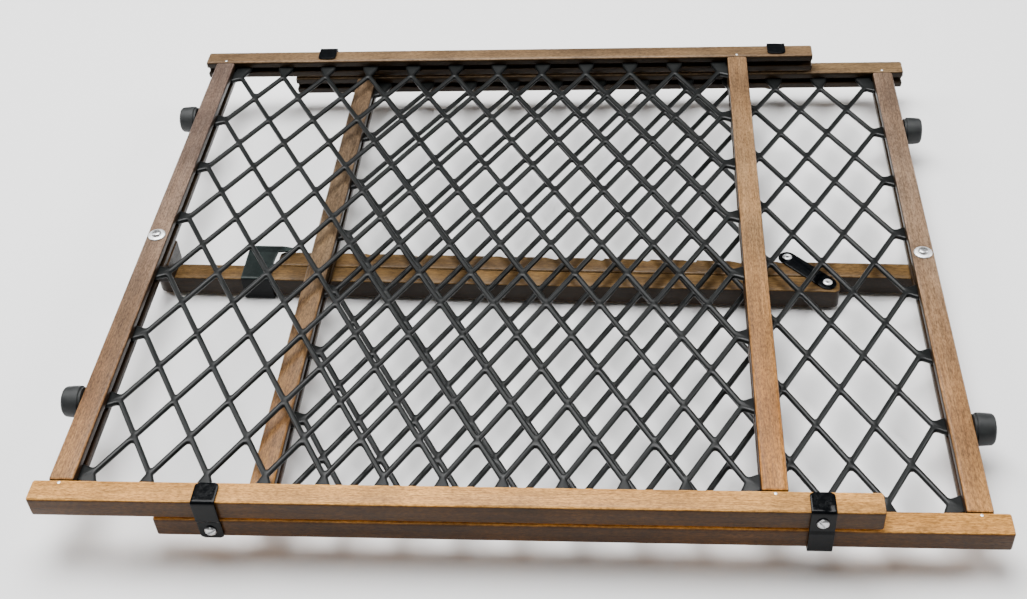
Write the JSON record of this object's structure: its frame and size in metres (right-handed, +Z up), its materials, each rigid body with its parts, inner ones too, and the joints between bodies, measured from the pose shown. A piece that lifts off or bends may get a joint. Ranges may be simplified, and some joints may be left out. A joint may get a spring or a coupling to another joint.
{
  "type": "pressure-mounted pet gate",
  "caption": "Wooden pressure gate: two sliding grooved frames with diamond plastic lattice, rubber bumpers, locking bars, shackle and collar.",
  "frame": {"origin": "bottom centre of the closed gate lying flat", "axes": "+X along the rails towards the back panel's bumpers, +Y across the gate from the near rails to the far rails, +Z up from the locking bars through both panels"},
  "size_m": [0.705, 0.5924, 0.0659],
  "materials": {
    "stained_wood": "walnut-brown stain, satin",
    "lattice_plastic": "charcoal, soft sheen",
    "bumper_rubber": "black, matt",
    "black_steel": "gloss black",
    "zinc_steel": "bright zinc plate"
  },
  "bodies": {
    "front_panel": {"front_near_rail": "stained_wood", "front_far_rail": "stained_wood", "front_outer_stile": "stained_wood", "front_inner_stile": "stained_wood", "front_lattice": "lattice_plastic", "front_near_outer_brad": "zinc_steel", "front_near_inner_brad": "zinc_steel", "front_far_outer_brad": "zinc_steel", "front_far_inner_brad": "zinc_steel", "front_near_bumper": "bumper_rubber", "front_far_bumper": "bumper_rubber", "front_near_bumper_screw": "zinc_steel", "front_far_bumper_screw": "zinc_steel", "right_near_clip": "black_steel", "right_far_clip": "black_steel", "right_near_clip_screw": "zinc_steel", "right_far_clip_screw": "zinc_steel", "pivot_spacer": "stained_wood", "left_pivot_washer": "zinc_steel"},
    "back_panel": {"back_near_rail": "stained_wood", "back_far_rail": "stained_wood", "back_outer_stile": "stained_wood", "back_inner_stile": "stained_wood", "back_lattice": "lattice_plastic", "back_near_outer_brad": "zinc_steel", "back_near_inner_brad": "zinc_steel", "back_far_outer_brad": "zinc_steel", "back_far_inner_brad": "zinc_steel", "back_near_bumper": "bumper_rubber", "back_far_bumper": "bumper_rubber", "back_near_bumper_screw": "zinc_steel", "back_far_bumper_screw": "zinc_steel", "left_near_clip": "black_steel", "left_far_clip": "black_steel", "left_near_clip_screw": "zinc_steel", "left_far_clip_screw": "zinc_steel", "right_pivot_washer": "zinc_steel", "right_pivot_screw": "zinc_steel", "right_pivot_nut": "zinc_steel"},
    "left_pivot": {"left_pivot_screw": "zinc_steel", "left_pivot_nut": "zinc_steel"},
    "strut_bar": {"strut_bar": "stained_wood"},
    "notched_bar": {"notched_bar": "stained_wood"},
    "shackle": {"shackle_top_plate": "black_steel", "shackle_bottom_plate": "black_steel", "shackle_rivet": "zinc_steel", "catch_pin": "zinc_steel"},
    "latch_collar": {"latch_collar": "black_steel"}
  },
  "joints": [
    {"name": "panel_slide", "type": "slide", "parent": "front_panel", "child": "back_panel", "axis": [1, 0, 0], "range_m": [0, 0.36]},
    {"name": "notched_bar_swing", "type": "hinge", "parent": "back_panel", "child": "notched_bar", "pos_m": [0.327, 0.0015, 0.0122], "axis": [0, 0, -1], "range_deg": [0, 25]},
    {"name": "left_pivot_turn", "type": "hinge", "parent": "front_panel", "child": "left_pivot", "pos_m": [-0.327, 0.0015, 0.0122], "axis": [0, 0, 1], "range_deg": [0, 3]},
    {"name": "strut_bar_turn", "type": "hinge", "parent": "left_pivot", "child": "strut_bar", "pos_m": [-0.327, 0.0015, 0.0122], "axis": [0, 0, 1], "range_deg": [0, 1.1]},
    {"name": "shackle_swing", "type": "hinge", "parent": "strut_bar", "child": "shackle", "pos_m": [0.24856, -0.01523, 0.0122], "axis": [0, 0, -1], "range_deg": [0, 37.5]},
    {"name": "collar_slide", "type": "slide", "parent": "left_pivot", "child": "latch_collar", "axis": [0.9996, -0.0291, 0], "range_m": [-0.045, 0.01]}
  ],
  "couplings": [
    {"joint": "left_pivot_turn", "follows": "notched_bar_swing", "ratio": 0.117},
    {"joint": "shackle_swing", "follows": "notched_bar_swing", "ratio": 1.495},
    {"joint": "strut_bar_turn", "follows": "panel_slide", "rad_per_m": 0.0505}
  ]
}
